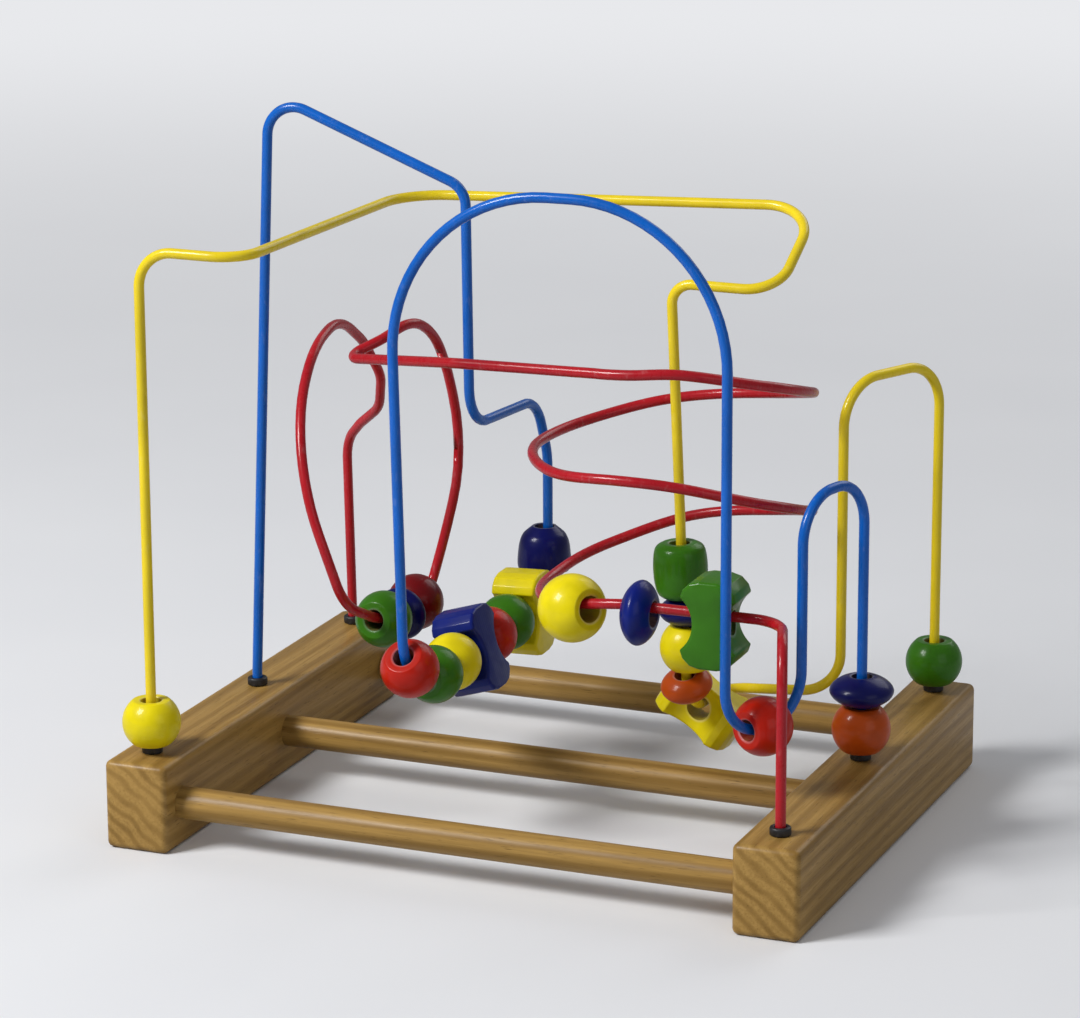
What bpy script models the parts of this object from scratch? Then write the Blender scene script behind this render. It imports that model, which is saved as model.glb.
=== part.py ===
"""Wooden bead maze: two end boards joined by three rails carry three bent wires with painted beads.

Metres, +Z up, X along the toy, Y towards its back. The origin is at the bottom centre.
"""
import math

import bmesh
import bpy
from mathutils import Matrix, Vector

# Base of two boards and three rails
base_length = 0.280
board_thickness = 0.026
board_depth = 0.216
board_height = 0.035
board_edge_radius = 0.0025
rail_diameter = 0.0125
rail_height = 0.0172
rail_inset = 0.014
rail_bore_depth = 0.010

# Wires and the caps round their feet
maze_height = 0.276
wire_diameter = 0.004
wire_bend = 0.020
wire_hole_depth = 0.011
foot_inset = 0.0128
foot_end_inset = 0.016
cap_diameter = 0.008
cap_height = 0.003
foot_straight = 0.006

# Gaps between pieces that touch, and the bores' room round the wire
seat_gap = 0.0003
bore_clearance = 0.004
block_bore_clearance = 0.0055
large_bore_clearance = 0.006
cut_overrun = 0.002

# Painted beads
ball_diameter = 0.0225
ball_length = 0.0175
large_ball_diameter = 0.026
large_ball_length = 0.021
disc_diameter = 0.025
disc_length = 0.012
disc_face_width = 0.0006
post_disc_length = 0.011
low_disc_diameter = 0.0215
low_disc_length = 0.0105
flat_ball_diameter = 0.021
flat_ball_length = 0.011
barrel_diameter = 0.021
barrel_length = 0.0215
bell_diameter = 0.0218
bell_length = 0.0182
bell_drop = 0.002
bell_play = 0.026
block_span = 0.0335
block_length = 0.022
block_waist = 0.0125
block_thickness = 0.0185
block_corner_radius = 0.0075
block_edge_radius = 0.0015
block_lean = math.radians(17)
back_block_lean = math.radians(2)
post_block_turn = math.radians(32)

# Places of the rows and how far their beads can slide
row_height = 0.0670
row_dip = 0.0021
row_front_bend = 0.0215
row_back_bend = 0.010
row_start_play = 0.0027
row_play = 0.001
row_end_room = 0.0052
strand_lean = 0.0081
low_row_play = 0.001
low_row_step = 0.0019
low_tilt_room = 0.0012
low_row_end_room = 0.0167
low_row_height = 0.071
arm_height = 0.105
arm_room = 0.0175
arm_ball_room = 0.0144
post_bend = 0.020
post_bend_height = 0.044
post_bend_room = 0.0066
post_tip_room = 0.0012
post_play = 0.028
spiral_radius = 0.053

half_length = base_length / 2
half_depth = board_depth / 2
wire_radius = wire_diameter / 2
foot_x = half_length - foot_inset
foot_y = half_depth - foot_end_inset
foot_bottom = board_height - wire_hole_depth + seat_gap

wire_step = math.radians(18)
spiral_step = 12
turned_steps = 16

# Wire corners: shares of half the length, half the depth and the maze's height, then of the usual bend
blue_kink_shares = [
    (-0.836, 0.000, 1.000, 0.60),
    (-0.246, 0.000, 0.884, 0.50),
    (-0.239, 0.000, 0.545, 0.80),
]
blue_strand_shares = (-0.221, 0.534)
blue_row_share = -0.210
blue_front_share = -0.683
blue_arch_shares = [
    (-0.243, -0.680, 0.935, 3.10),
    (0.705, -0.676, 0.940, 3.00),
    (0.705, -0.676, 0.225, 0.90),
    (0.829, -0.352, 0.225, 0.90),
    (0.829, -0.352, 0.529, 0.90),
]
blue_over_share = 0.529
strand_share = 2.8
strand_bend_share = 0.8
red_loop_shares = [
    (-0.921, 0.852, 0.413, 1.00),
    (-0.850, 0.778, 0.449, 1.00),
    (-0.757, 0.694, 0.486, 1.00),
    (-0.721, 0.611, 0.543, 1.00),
    (-0.743, 0.519, 0.602, 1.00),
    (-0.743, 0.306, 0.655, 8.00),
    (-0.721, 0.028, 0.637, 8.00),
    (-0.693, -0.167, 0.580, 8.00),
    (-0.650, -0.296, 0.516, 8.00),
    (-0.600, -0.361, 0.442, 8.00),
    (-0.543, -0.370, 0.370, 8.00),
    (-0.509, -0.338, 0.304, 1.00),
]
red_row_share = -0.477
red_row_front_share = -0.093
red_hairpin_shares = [
    (-0.450, 0.394, 0.337, 8.00),
    (-0.407, 0.398, 0.428, 8.00),
    (-0.399, 0.375, 0.511, 8.00),
    (-0.406, 0.296, 0.598, 8.00),
    (-0.414, 0.204, 0.656, 8.00),
    (-0.426, 0.046, 0.687, 8.00),
    (-0.464, -0.102, 0.670, 1.00),
    (-0.539, -0.222, 0.650, 0.30),
    (-0.143, -0.444, 0.680, 3.00),
]
spiral_centre_shares = (0.379, -0.065)
# Angle round the spiral in degrees, and the wire's height there as a share of the maze's height
spiral_height_shares = [
    (-102, 0.694), (-90, 0.696), (-66, 0.699), (-30, 0.674), (10, 0.638), (60, 0.598), (112, 0.572),
    (143, 0.554), (170, 0.546), (202, 0.545), (234, 0.543), (269, 0.551), (294, 0.544), (330, 0.511),
    (370, 0.471), (420, 0.429), (461, 0.403), (493, 0.371), (515, 0.355), (534, 0.346), (562, 0.348),
    (596, 0.363),
]
# Angle round the spiral, and its radius there as a share of the spiral's
spiral_inset_shares = [(500, 1.0), (530, 0.965), (550, 0.95), (570, 0.955), (590, 0.985), (604, 1.0)]
red_end_share = 0.829
yellow_top_shares = [
    (-0.909, -0.852, 0.837, 0.70),
    (-0.607, -0.852, 0.837, 0.70),
    (-0.557, 0.389, 0.837, 1.00),
    (0.657, 0.417, 0.862, 1.00),
    (0.657, 0.000, 0.775, 0.70),
    (0.354, 0.000, 0.775, 0.40),
]
post_foot_share = 0.407
yellow_end_shares = [
    (0.407, 0.352, 0.160, 0.60),
    (0.743, 0.407, 0.167, 0.80),
    (0.743, 0.407, 0.616, 0.90),
    (0.909, 0.852, 0.616, 0.90),
]

# Turned outlines: shares of the radius, and of the length from the lower face up
bell_shares = [
    (0.45, 1.00), (0.65, 0.90), (0.80, 0.81), (0.90, 0.68), (0.96, 0.50), (1.00, 0.22), (0.985, 0.08),
    (0.92, 0.00),
]
barrel_shares = [
    (0.64, 1.00), (0.87, 0.93), (0.97, 0.78), (1.00, 0.50), (0.96, 0.25), (0.86, 0.08), (0.66, 0.00),
]
bend_room_share = 0.499
lobe_share = 0.60
bend_ball_share = 0.54
high_bend_share = 0.9
arm_bend_share = 0.8
low_front_bend_share = 2.0
low_back_bend_share = 0.5
arm_disc_share = 0.6
blue_row_kinds = ["ball", "ball", "block", "ball", "ball", "block"]

for old in list(bpy.data.objects):
    bpy.data.objects.remove(old, do_unlink=True)
parts = bpy.data.collections.new("bead_maze")
cutters = bpy.data.collections.new("cutters")
bpy.context.scene.collection.children.link(parts)
bpy.context.scene.collection.children.link(cutters)


def paint(name, colour, roughness, metallic=0.0):
    material = bpy.data.materials.new(name)
    material.use_nodes = True
    shader = material.node_tree.nodes["Principled BSDF"]
    shader.inputs["Base Color"].default_value = (*colour, 1.0)
    shader.inputs["Roughness"].default_value = roughness
    shader.inputs["Metallic"].default_value = metallic
    material.diffuse_color = (*colour, 1.0)
    return material


paints = {
    "wood": ((0.62, 0.40, 0.18), 0.38),
    "blue_wire": ((0.02, 0.16, 0.55), 0.28),
    "red_wire": ((0.60, 0.03, 0.03), 0.28),
    "yellow_wire": ((0.85, 0.68, 0.02), 0.28),
    "cap": ((0.02, 0.02, 0.02), 0.45),
    "green": ((0.10, 0.36, 0.03), 0.22),
    "yellow": ((0.88, 0.78, 0.01), 0.22),
    "red": ((0.66, 0.03, 0.02), 0.22),
    "dark_red": ((0.42, 0.02, 0.02), 0.22),
    "orange": ((0.72, 0.17, 0.01), 0.22),
    "blue": ((0.01, 0.03, 0.36), 0.22),
    "navy": ((0.01, 0.01, 0.16), 0.22),
}


def dress(obj, colour):
    """Give the object its own material."""
    tone, roughness = paints[colour]
    obj.data.materials.clear()
    obj.data.materials.append(paint(obj.name, tone, roughness))


def add_part(name, mesh, colour):
    obj = bpy.data.objects.new(name, mesh)
    parts.objects.link(obj)
    dress(obj, colour)
    return obj


def smooth(mesh, angle=math.radians(40)):
    mesh.shade_smooth()
    mesh.set_sharp_from_angle(angle=angle)


def add_cutter(name, cylinders):
    """One guide mesh with a cylinder for each bore: middle, direction, radius, length and sides."""
    shape = bmesh.new()
    for middle, direction, radius, length, sides in cylinders:
        turn = direction.to_track_quat("Z", "Y").to_matrix().to_4x4()
        bmesh.ops.create_cone(shape, cap_ends=True, segments=sides, radius1=radius, radius2=radius,
                              depth=length, matrix=Matrix.Translation(middle) @ turn)
    mesh = bpy.data.meshes.new(name)
    shape.to_mesh(mesh)
    shape.free()
    obj = bpy.data.objects.new(name, mesh)
    obj.hide_render = True
    obj.display_type = "WIRE"
    cutters.objects.link(obj)
    return obj


def cut(obj, cutter):
    cutting = obj.modifiers.new("bores", "BOOLEAN")
    cutting.operation = "DIFFERENCE"
    cutting.solver = "EXACT"
    cutting.object = cutter


class Route:
    """A wire's centre line: straight runs between corners, each corner rounded with its bend radius."""

    def __init__(self, corners):
        self.points = [corners[0][0].copy()]
        self.bends = {}
        last = len(corners) - 1
        for k in range(1, last):
            corner, radius = corners[k]
            before = corners[k - 1][0] - corner
            after = corners[k + 1][0] - corner
            turn = math.pi - before.angle(after)
            if radius == 0 or turn < wire_step / 20:
                self.points.append(corner.copy())
                continue
            half = math.tan(turn / 2)
            reach = min(radius * half, (2 if k == 1 else 1) * bend_room_share * before.length,
                        (2 if k == last - 1 else 1) * bend_room_share * after.length)
            radius = reach / half
            start = corner + before.normalized() * reach
            inward = (before.normalized() + after.normalized()).normalized()
            centre = corner + inward * radius / math.cos(turn / 2)
            outward = (start - centre).normalized()
            ahead = -before.normalized()
            first = len(self.points)
            steps = max(1, math.ceil(turn / wire_step))
            for i in range(steps + 1):
                angle = turn * i / steps
                self.points.append(centre + (outward * math.cos(angle) + ahead * math.sin(angle)) * radius)
            self.bends[k] = (first, len(self.points) - 1, centre, outward.cross(ahead).normalized())
        self.points.append(corners[last][0].copy())
        self.reach = [0.0]
        for a, b in zip(self.points, self.points[1:]):
            self.reach.append(self.reach[-1] + (b - a).length)

    def start_of(self, corner):
        return self.reach[self.bends[corner][0]]

    def end_of(self, corner):
        return self.reach[self.bends[corner][1]]

    def at(self, distance):
        for k in range(1, len(self.points)):
            if distance <= self.reach[k] or k == len(self.points) - 1:
                share = (distance - self.reach[k - 1]) / (self.reach[k] - self.reach[k - 1])
                return self.points[k - 1].lerp(self.points[k], share)

    def nearest(self, place):
        """Distance along the wire of its point nearest to a place."""
        best = None
        for k in range(1, len(self.points)):
            a, b = self.points[k - 1], self.points[k]
            share = min(1, max(0, (place - a).dot(b - a) / (b - a).length_squared))
            gap = (a.lerp(b, share) - place).length
            if best is None or gap < best[0]:
                best = (gap, self.reach[k - 1] + share * (b - a).length)
        return best[1]


def corner(x_share, y_share, z_share, bend_share):
    place = Vector((x_share * half_length, y_share * half_depth, z_share * maze_height))
    return (place, bend_share * wire_bend)


def table(shares):
    return [corner(*row) for row in shares]


def circle_through(a, b, c):
    """Centre and unit normal of the circle through three points."""
    u = b - a
    v = c - a
    normal = u.cross(v)
    out = v.length_squared * normal.cross(u) + u.length_squared * v.cross(normal)
    return a + out / (2 * normal.length_squared), normal.normalized()


def block_face(along):
    """Half the block's length at a distance from its bore: a round hollow between two lobes."""
    lobe = block_span / 2 * lobe_share
    depth = (block_length - block_waist) / 2
    radius = (lobe * lobe + depth * depth) / (2 * depth)
    if abs(along) >= lobe:
        return block_length / 2
    return block_waist / 2 + radius - math.sqrt(radius * radius - along * along)


def ball_face(along, diameter, length):
    """Half a ball's length along its bore, at a distance from the bore."""
    radius = diameter / 2
    half = length / 2
    top = math.asin(min(0.93, half / radius))
    if along >= radius:
        return 0
    return min(half, math.sqrt(radius * radius - along * along) * half / (radius * math.sin(top)))


def nestle(diameter, length):
    """Distance between the middles of a ball and of the block in whose hollow it lies, hanging lower."""
    lower = (block_bore_clearance - bore_clearance) / 2
    spots = [diameter / 2 * k / 40 for k in range(-40, 41)]
    return max(block_face(w + lower) + ball_face(abs(w), diameter, length) for w in spots) + seat_gap


def pitch(one, other):
    if one == other == "ball":
        return ball_length + seat_gap
    return nestle(ball_diameter, ball_length)


row_pitches = [pitch(one, other) for one, other in zip(blue_row_kinds, blue_row_kinds[1:])]

# Blue wire
row_bead_length = ball_length / 2 + sum(row_pitches) + block_length / 2
row_front = blue_front_share * half_depth
row_straight_start = row_front + row_front_bend
row_straight_end = row_straight_start - row_start_play + row_bead_length + row_end_room
row_back = row_straight_end + row_back_bend
row_x = blue_row_share * half_length
strand_x = blue_strand_shares[0] * half_length
blue = Route(
    [
        (Vector((-foot_x, 0, foot_bottom)), 0),
        (Vector((-foot_x, 0, board_height + foot_straight)), wire_bend),
    ]
    + table(blue_kink_shares)
    + [
        (Vector((strand_x, row_back - strand_lean, blue_strand_shares[1] * maze_height)),
         wire_bend * strand_bend_share),
        (Vector((row_x, row_back, row_height + wire_bend * strand_share)),
         wire_bend * strand_bend_share * 2),
        (Vector((row_x, row_back, row_height)), row_back_bend),
        (Vector((row_x, row_front, row_height - row_dip)), row_front_bend),
    ]
    + table(blue_arch_shares)
    + [
        (Vector((foot_x, 0, blue_over_share * maze_height)), wire_bend * high_bend_share),
        (Vector((foot_x, 0, foot_bottom)), 0),
    ]
)
blue_back_bend = len(blue_kink_shares) + 4
blue_front_bend = blue_back_bend + 1
blue_leg_bend = blue_front_bend + 3

# Red wire
low_row_length = low_disc_length + seat_gap + ball_length
low_row_x = red_row_share * half_length
low_row_front = red_row_front_share * half_depth
low_row_back = low_row_front + low_row_length + low_row_end_room
spiral_x = spiral_centre_shares[0] * half_length
arm_y = spiral_centre_shares[1] * half_depth - spiral_radius
spiral_middle = Vector((spiral_x, spiral_centre_shares[1] * half_depth, 0))


def spiral_height(angle):
    """Height of the spiral at an angle: read from the table, then level with the front arm at its end."""
    rows = [(a, z * maze_height) for a, z in spiral_height_shares] + [(630, arm_height)]
    for (a, low), (b, high) in zip(rows, rows[1:]):
        if a <= angle <= b:
            share = (angle - a) / (b - a)
            return low + (high - low) * share
    return arm_height


def spiral_inset(angle):
    """Share of the spiral's radius at an angle."""
    for (a, one), (b, other) in zip(spiral_inset_shares, spiral_inset_shares[1:]):
        if a <= angle <= b:
            return one + (other - one) * (angle - a) / (b - a)
    return 1


def on_spiral(angle):
    turn = math.radians(angle)
    out = Vector((math.cos(turn), math.sin(turn), 0)) * spiral_radius * spiral_inset(angle)
    return spiral_middle + out + Vector((0, 0, spiral_height(angle)))


spiral = [(on_spiral(angle), 0) for angle in range(-102, 631, spiral_step)]
red = Route(
    [(Vector((-foot_x, foot_y, foot_bottom)), 0)]
    + table(red_loop_shares)
    + [
        (Vector((low_row_x, low_row_front, low_row_height)), wire_bend * low_front_bend_share),
        (Vector((low_row_x, low_row_back, low_row_height)), wire_bend * low_back_bend_share),
    ]
    + table(red_hairpin_shares)
    + spiral
    + [
        (Vector((red_end_share * half_length, arm_y, arm_height)), wire_bend * arm_bend_share),
        (Vector((foot_x, -foot_y, arm_height)), wire_bend * arm_bend_share),
        (Vector((foot_x, -foot_y, foot_bottom)), 0),
    ]
)
low_front_bend = len(red_loop_shares) + 1
low_back_bend = low_front_bend + 1

# Yellow wire
yellow = Route(
    [(Vector((-foot_x, -foot_y, foot_bottom)), 0)]
    + table(yellow_top_shares)
    + [(Vector((post_foot_share * half_length, 0, post_bend_height)), post_bend)]
    + table(yellow_end_shares)
    + [(Vector((foot_x, foot_y, foot_bottom)), 0)]
)
post_bend_corner = len(yellow_top_shares) + 1


def add_wire(name, route, colour):
    curve = bpy.data.curves.new(name, "CURVE")
    curve.dimensions = "3D"
    curve.bevel_depth = wire_radius
    curve.bevel_resolution = 2
    curve.use_fill_caps = True
    line = curve.splines.new("POLY")
    line.points.add(len(route.points) - 1)
    for spot, place in zip(line.points, route.points):
        spot.co = (*place, 1)
    line.use_smooth = True
    obj = bpy.data.objects.new(name, curve)
    parts.objects.link(obj)
    dress(obj, colour)
    return obj


add_wire("wire_blue", blue, "blue_wire")
add_wire("wire_red", red, "red_wire")
add_wire("wire_yellow", yellow, "yellow_wire")

# End boards with their blind bores, and the rails between them
rail_places = {"front": -(half_depth - rail_inset), "middle": 0.0, "back": half_depth - rail_inset}
foot_places = [-foot_y, 0.0, foot_y]
board_x = half_length - board_thickness / 2
board_inner = half_length - board_thickness
for side, sign in (("left", -1), ("right", 1)):
    shape = bmesh.new()
    bmesh.ops.create_cube(shape, size=1.0)
    bmesh.ops.scale(shape, vec=(board_thickness, board_depth, board_height), verts=shape.verts)
    mesh = bpy.data.meshes.new("board_" + side)
    shape.to_mesh(mesh)
    shape.free()
    board = add_part("board_" + side, mesh, "wood")
    board.location = (sign * board_x, 0, board_height / 2)
    rounding = board.modifiers.new("edges", "BEVEL")
    rounding.width = board_edge_radius
    rounding.segments = 2
    bores = []
    for place in rail_places.values():
        middle = Vector((sign * (board_inner + (rail_bore_depth - cut_overrun) / 2), place, rail_height))
        radius = rail_diameter / 2 + seat_gap
        bores.append((middle, Vector((1, 0, 0)), radius, rail_bore_depth + cut_overrun, 20))
    for place in foot_places:
        middle = Vector((sign * foot_x, place, board_height - (wire_hole_depth - cut_overrun) / 2))
        radius = wire_radius + seat_gap * 1.5
        bores.append((middle, Vector((0, 0, 1)), radius, wire_hole_depth + cut_overrun, 12))
    cut(board, add_cutter("bores_" + side, bores))

for place, y in rail_places.items():
    shape = bmesh.new()
    bmesh.ops.create_cone(shape, cap_ends=True, segments=20, radius1=rail_diameter / 2,
                          radius2=rail_diameter / 2, depth=2 * (board_inner + rail_bore_depth - seat_gap))
    mesh = bpy.data.meshes.new("rail_" + place)
    shape.to_mesh(mesh)
    shape.free()
    smooth(mesh)
    rail = add_part("rail_" + place, mesh, "wood")
    rail.location = (0, y, rail_height)
    rail.rotation_euler = (0, math.pi / 2, 0)


def turned_mesh(name, outline):
    """Outline of radii and heights down the outer side, closed up the bore, for a Screw modifier."""
    mesh = bpy.data.meshes.new(name)
    places = [(radius, 0, height) for radius, height in outline]
    edges = [(k, (k + 1) % len(places)) for k in range(len(places))]
    mesh.from_pydata(places, edges, [])
    return mesh


def add_turned(name, outline, colour):
    obj = add_part(name, turned_mesh(name, outline), colour)
    turning = obj.modifiers.new("turning", "SCREW")
    turning.steps = turned_steps
    turning.render_steps = turned_steps
    turning.use_merge_vertices = True
    turning.merge_threshold = 0.00001
    turning.use_smooth_shade = True
    return obj


def ball_outline(diameter, length, clearance):
    """A ball with flat ends round its bore."""
    radius = diameter / 2
    bore = (wire_diameter + clearance) / 2
    half = length / 2
    top = math.asin(min(0.93, half / radius))
    stretch = half / (radius * math.sin(top))
    outline = []
    for k in range(7):
        angle = top * (1 - 2 * k / 6)
        outline.append((radius * math.cos(angle), radius * math.sin(angle) * stretch))
    return outline + [(bore, -half), (bore, half)]


def disc_outline(diameter, length, clearance):
    """A disc whose two faces swell to the bore and meet at a rounded rim."""
    radius = diameter / 2
    bore = (wire_diameter + clearance) / 2
    half = length / 2
    top = math.acos((bore + disc_face_width) / radius)
    outline = []
    for k in range(8):
        angle = top * (1 - 2 * k / 7)
        outline.append((radius * math.cos(angle), half * math.sin(angle) / math.sin(top)))
    return outline + [(bore, -half), (bore, half)]


def shaped_outline(shares, diameter, length, clearance):
    bore = (wire_diameter + clearance) / 2
    outline = [(r * diameter / 2, z * length - length / 2) for r, z in shares]
    return outline + [(bore, -length / 2), (bore, length / 2)]


def add_block(name, colour):
    """Waisted block: its outline is drawn across the bore, which runs through the waist."""
    outline = []
    half_span = block_span / 2
    side = half_span - block_corner_radius
    for sign in (1, -1):
        flank = []
        lobe = half_span * lobe_share
        for k in range(9):
            along = lobe * (k / 4 - 1)
            flank.append((along, block_face(along)))
        for k in range(1, 4):
            angle = math.radians(90) * (1 - k / 3)
            flank.append((side + block_corner_radius * math.cos(angle),
                          block_length / 2 - block_corner_radius * (1 - math.sin(angle))))
        for k in range(3):
            angle = math.radians(90) * k / 3
            flank.insert(k, (-side - block_corner_radius * math.cos(angle),
                             block_length / 2 - block_corner_radius * (1 - math.sin(angle))))
        outline += [(sign * along, sign * across) for along, across in flank]
    curve = bpy.data.curves.new(name + "_outline", "CURVE")
    curve.dimensions = "2D"
    curve.fill_mode = "BOTH"
    curve.extrude = block_thickness / 2 - block_edge_radius
    curve.bevel_depth = block_edge_radius
    curve.bevel_resolution = 0
    curve.offset = -block_edge_radius
    line = curve.splines.new("POLY")
    line.points.add(len(outline) - 1)
    for spot, (along, across) in zip(line.points, outline):
        spot.co = (along, across, 0, 1)
    line.use_cyclic_u = True
    flat = bpy.data.objects.new(name + "_flat", curve)
    parts.objects.link(flat)
    # The bore's axis becomes the block's own Z, and its long side stays X
    stand = Matrix.Rotation(math.pi / 2, 4, "X")
    graph = bpy.context.evaluated_depsgraph_get()
    mesh = bpy.data.meshes.new_from_object(flat.evaluated_get(graph))
    shape = bmesh.new()
    shape.from_mesh(mesh)
    bmesh.ops.remove_doubles(shape, verts=shape.verts, dist=0.00001)
    bmesh.ops.transform(shape, matrix=stand, verts=shape.verts)
    bmesh.ops.recalc_face_normals(shape, faces=shape.faces)
    mesh.clear_geometry()
    shape.to_mesh(mesh)
    shape.free()
    bpy.data.objects.remove(flat, do_unlink=True)
    smooth(mesh)
    mesh.name = name
    obj = add_part(name, mesh, colour)
    radius = (wire_diameter + block_bore_clearance) / 2
    bore = add_cutter(name + "_bore", [(Vector((0, 0, 0)), Vector((0, 0, 1)), radius,
                                       block_length + cut_overrun, turned_steps)])
    bore.parent = obj
    cut(obj, bore)
    return obj


def seat(obj, route, distance, length, clearance, long_side=None, ahead=0.0, behind=0.0,
         drop=Vector((0, 0, -1)), spare=0.0, run=None):
    """Thread a bead on a wire: it hangs until its bore meets the wire, also over its slide."""
    half = length / 2
    if run is None:
        first = route.at(distance - half)
        last = route.at(distance + half)
        axis = (last - first).normalized()
        middle = (route.at(distance) + (first + last) / 2) / 2
    else:
        start = route.at(run)
        axis = (route.at(run + (length if distance > run else -length)) - start).normalized()
        if distance < run:
            axis.negate()
        middle = start + axis * (distance - run)
    sag = drop - axis * drop.dot(axis)
    bore_radius = (wire_diameter + clearance) / 2 * math.cos(math.pi / turned_steps)
    room = bore_radius - wire_radius - seat_gap - spare
    best = middle
    if sag.length > wire_step / 10:
        sag.normalize()
        steps = 40
        start = distance - half - behind
        samples = [route.at(start + (length + behind + ahead) * k / steps) for k in range(steps + 1)]
        for k in range(1, steps + 1):
            trial = middle + sag * room * k / steps
            worst = max((place - trial - axis * (place - trial).dot(axis)).length for place in samples)
            if worst > room:
                break
            best = trial
    side = long_side or (Vector((1, 0, 0)) if abs(axis.x) < 0.9 else Vector((0, 1, 0)))
    side = (side - axis * side.dot(axis)).normalized()
    frame = Matrix((side, axis.cross(side), axis)).transposed()
    obj.matrix_world = Matrix.Translation(best) @ frame.to_4x4()
    seats[obj.name] = (best.copy(), axis.copy())
    return obj


def turn_about(name, objects, centre):
    """Hang beads that travel round a bend from an empty on the bend's axis."""
    pivot = bpy.data.objects.new(name, None)
    pivot.location = centre
    parts.objects.link(pivot)
    bpy.context.view_layer.update()
    for obj in objects:
        place = obj.matrix_world.copy()
        obj.parent = pivot
        obj.matrix_parent_inverse = Matrix.Translation(-centre)
        obj.matrix_world = place


seats = {}
pivots = {}


def ball(name, colour):
    return add_turned(name, ball_outline(ball_diameter, ball_length, bore_clearance), colour)


# Beads of the blue wire's row, from the front bend to the back strand
front_centre, front_axis = blue.bends[blue_front_bend][2:4]
row_start = blue.start_of(blue_front_bend)
bend_length = blue.end_of(blue_front_bend) - row_start
seat(ball("ball_red_bend", "red"), blue, row_start + bend_length * bend_ball_share, ball_length,
     bore_clearance, spare=wire_radius / 8)
turn_about("front_bend_pivot", [bpy.data.objects["ball_red_bend"]], front_centre)
pivots["ball_red_bend"] = (front_centre, front_axis)


def leaning(angle):
    """Direction up a block's long side when its top leans to the left."""
    return Vector((-math.sin(angle), 0, math.cos(angle)))


row_beads = [
    ("ball_green_row_front", "ball", "green", None),
    ("ball_yellow_row", "ball", "yellow", None),
    ("block_blue_row", "block", "blue", leaning(block_lean)),
    ("ball_red_row", "ball", "red", None),
    ("ball_green_row_back", "ball", "green", None),
    ("block_yellow_row", "block", "yellow", leaning(back_block_lean)),
]
spot = row_start + row_start_play - ball_length / 2
for place, (name, kind, colour, long_side) in enumerate(row_beads):
    if kind == "block":
        made, size, clearance = add_block(name, colour), block_waist, block_bore_clearance
    else:
        made, size, clearance = ball(name, colour), ball_length, bore_clearance
    seat(made, blue, spot, size, clearance, long_side, behind=row_play * (place + 1), run=row_start)
    spot -= (row_pitches + [0])[place]

bell_outline = shaped_outline(bell_shares, bell_diameter, bell_length, bore_clearance)
bell = add_turned("bell_navy", bell_outline, "navy")
bell_spot = blue.start_of(blue_back_bend) - bell_length / 2 + bell_drop
seat(bell, blue, bell_spot, bell_length, bore_clearance, drop=Vector((-1, 0, 0)), behind=bell_play)
bell.rotation_euler.rotate_axis("X", math.pi)

# Beads of the red wire's low row: the green one lies in the front bend, and two follow on the level run
low_start = red.end_of(low_front_bend)
spot = low_start + low_row_step
green_spot = spot - low_tilt_room - ball_length / 2
seat(ball("ball_green_low", "green"), red, green_spot, ball_length, bore_clearance, spare=wire_radius / 8)
green_centre, green_axis = red.bends[low_front_bend][2:4]
turn_about("low_row_pivot", [bpy.data.objects["ball_green_low"]], green_centre)
pivots["ball_green_low"] = (green_centre, green_axis)
made = add_turned("disc_navy_low", disc_outline(low_disc_diameter, low_disc_length, bore_clearance), "navy")
spot += low_disc_length / 2
seat(made, red, spot, low_disc_length, bore_clearance, ahead=low_row_play, run=low_start)
spot += low_disc_length / 2 + seat_gap + ball_length / 2
seat(ball("ball_red_low", "dark_red"), red, spot, ball_length, bore_clearance, ahead=low_row_play * 2,
     run=low_start)

# Beads of the red wire's front arm
arm_start = red.nearest(Vector((spiral_x, arm_y, arm_height)))
disc_spot = arm_start + disc_length * arm_disc_share
made = add_turned("disc_blue_arm", disc_outline(disc_diameter, disc_length, large_bore_clearance), "blue")
seat(made, red, disc_spot, disc_length, large_bore_clearance)
block_spot = disc_spot + disc_length / 2 + arm_room + block_waist / 2
seat(add_block("block_green_arm", "green"), red, block_spot, block_waist, block_bore_clearance,
     Vector((0, 0, 1)))
large_spot = disc_spot - disc_length / 2 - arm_ball_room - large_ball_length / 2
large = add_turned("ball_yellow_large",
                   ball_outline(large_ball_diameter, large_ball_length, large_bore_clearance), "yellow")
seat(large, red, large_spot, large_ball_length, large_bore_clearance, spare=wire_radius / 4)
large_angle = 630 - math.degrees((arm_start - large_spot) / spiral_radius)
large_turn = math.degrees(arm_ball_room / spiral_radius)
large_centre, large_axis = circle_through(on_spiral(large_angle), on_spiral(large_angle + large_turn / 2),
                                          on_spiral(large_angle + large_turn))
turn_about("spiral_pivot", [large], large_centre)
pivots["ball_yellow_large"] = (large_centre, large_axis)

# Beads of the yellow wire's post, from its bottom bend up
post_start = yellow.start_of(post_bend_corner)
bend_centre, bend_axis = yellow.bends[post_bend_corner][2:4]
post_end = yellow.end_of(post_bend_corner)
run_ahead = yellow.at(post_end + wire_bend / 4) - yellow.at(post_end)
flat_spot = post_start + flat_ball_length / 2 + post_tip_room
flat_outline = disc_outline(flat_ball_diameter, flat_ball_length, bore_clearance)
made = add_turned("disc_orange_post", flat_outline, "orange")
seat(made, yellow, flat_spot, flat_ball_length, bore_clearance)
post_block = add_block("block_yellow_post", "yellow")
level = run_ahead.cross(Vector((0, 0, 1)))
turned = Matrix.Rotation(post_block_turn, 3, run_ahead) @ level
block_way = nestle(flat_ball_diameter, flat_ball_length) + post_bend_room
seat(post_block, yellow, flat_spot + block_way, block_waist, block_bore_clearance, turned,
     spare=wire_radius / 8)
turn_about("post_bend_pivot", [made, post_block], bend_centre)
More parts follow.
